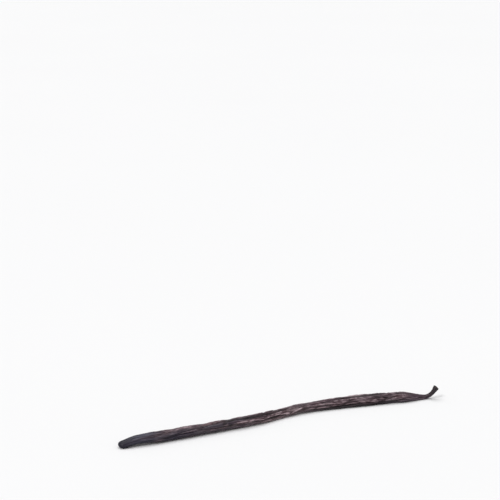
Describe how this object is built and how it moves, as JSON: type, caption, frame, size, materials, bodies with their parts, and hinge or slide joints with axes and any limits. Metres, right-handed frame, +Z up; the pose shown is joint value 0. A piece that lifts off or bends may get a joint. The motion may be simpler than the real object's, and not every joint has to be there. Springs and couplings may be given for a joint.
{
  "type": "vanilla pod",
  "caption": "One whole cured vanilla pod, long, slightly flattened and wrinkled lengthwise, with a blunt drooping nose and a curled, flared stalk end.",
  "frame": {"origin": "on the plane the pod lies on, under the middle of its bounding box", "axes": "+X along the pod from its blossom end to its stalk end, +Z up from the table, +Y to the side away from the viewer"},
  "size_m": [0.1756, 0.0166, 0.0073],
  "materials": {
    "pod_skin": "near-black brown, oily and semi-matte, with plum grey light on the tops of the wrinkles"
  },
  "bodies": {
    "root": {"pod": "pod_skin"}
  },
  "joints": []
}
